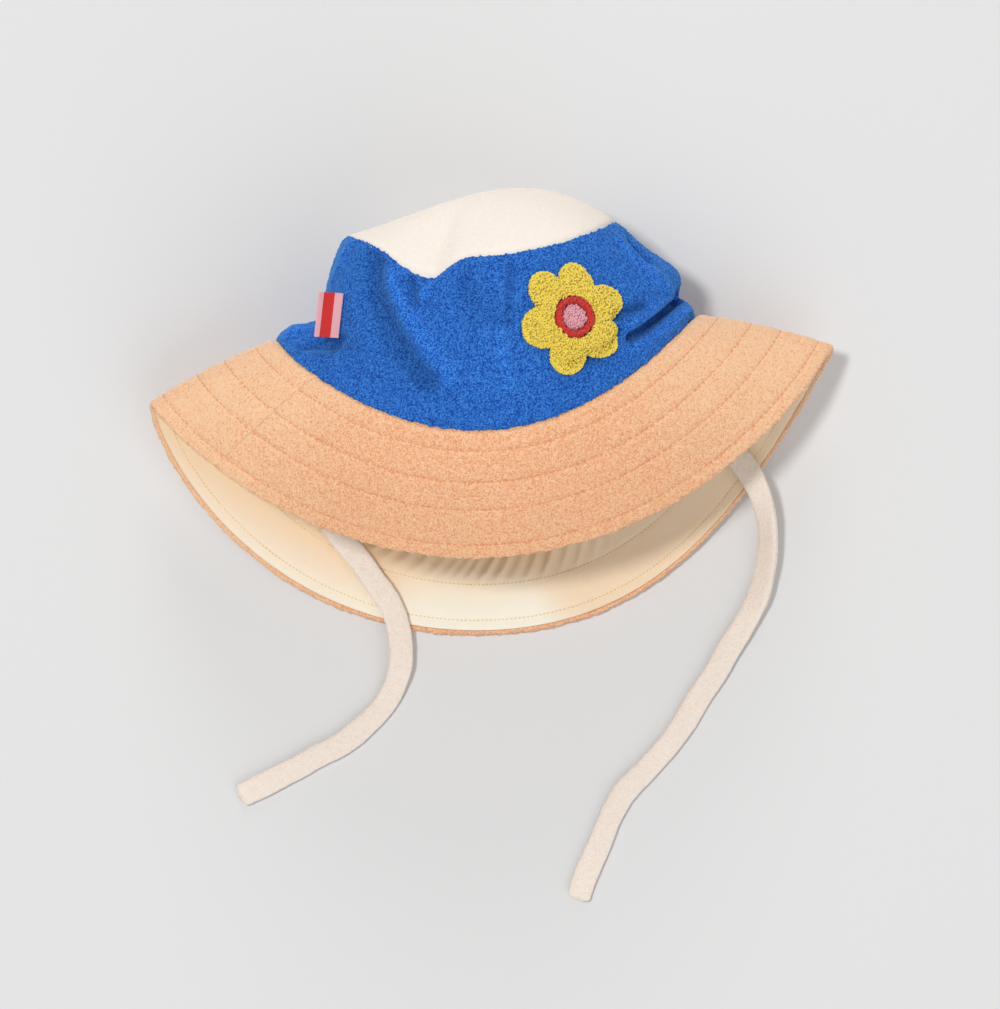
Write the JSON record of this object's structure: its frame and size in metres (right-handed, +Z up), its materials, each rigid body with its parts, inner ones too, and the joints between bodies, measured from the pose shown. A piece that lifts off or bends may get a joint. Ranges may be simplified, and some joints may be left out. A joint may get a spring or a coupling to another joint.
{
  "type": "child's bucket hat",
  "caption": "Child's terry bucket hat lying on its back: puffed crown tip, two-panel crown, stitched brim with lining, chin ties, side label tab and an applied flower patch.",
  "frame": {"origin": "middle of the hat on the surface it lies on, without the ties", "axes": "+Z up from the surface; +Y from the brim towards the crown tip; +X across the hat, to the right in the picture"},
  "size_m": [0.2858, 0.3021, 0.106],
  "materials": {
    "cream_terry": "cream looped terry",
    "blue_terry": "blue looped terry",
    "orange_terry": "apricot looped terry",
    "interlining": "white felt",
    "cream_cotton": "smooth cream cotton",
    "elastic": "woven elastic",
    "tie_terry": "cream looped terry",
    "thread": "twisted cotton thread",
    "label_tape": "woven tape",
    "yellow_boucle": "yellow boucle pile",
    "red_boucle": "red boucle cord",
    "pink_boucle": "pink boucle pile"
  },
  "bodies": {
    "hat": {"crown_tip": "cream_terry", "crown_panel_front": "blue_terry", "crown_panel_back": "blue_terry", "brim_top_front": "orange_terry", "brim_top_back": "orange_terry", "brim_interlining_front": "interlining", "brim_interlining_back": "interlining", "brim_under_front": "cream_cotton", "brim_under_back": "cream_cotton", "lining_tip": "cream_cotton", "lining_panel_front": "cream_cotton", "lining_panel_back": "cream_cotton", "back_elastic": "elastic", "bar_tack_left": "thread", "bar_tack_right": "thread", "flower_petals": "yellow_boucle", "flower_ring": "red_boucle", "flower_centre": "pink_boucle"},
    "tie_left": {"chin_tie_left": "tie_terry"},
    "tie_right": {"chin_tie_right": "tie_terry"},
    "label": {"side_label": "label_tape"}
  },
  "joints": [
    {"name": "tie_left_swing", "type": "hinge", "parent": "hat", "child": "tie_left", "pos_m": [-0.07095, 0.01634, 0.06844], "axis": [-0.5943, 0.4937, -0.6349], "range_deg": [0, 35]},
    {"name": "tie_right_swing", "type": "hinge", "parent": "hat", "child": "tie_right", "pos_m": [0.07277, -0.00502, 0.0177], "axis": [-0.5703, -0.7325, -0.3717], "range_deg": [0, 35]},
    {"name": "label_flap", "type": "hinge", "parent": "hat", "child": "label", "pos_m": [-0.05944, 0.04285, 0.07433], "axis": [0.3067, 0.9415, 0.1393], "range_deg": [-40, 70], "stiffness_Nm_per_rad": 0.0005}
  ]
}
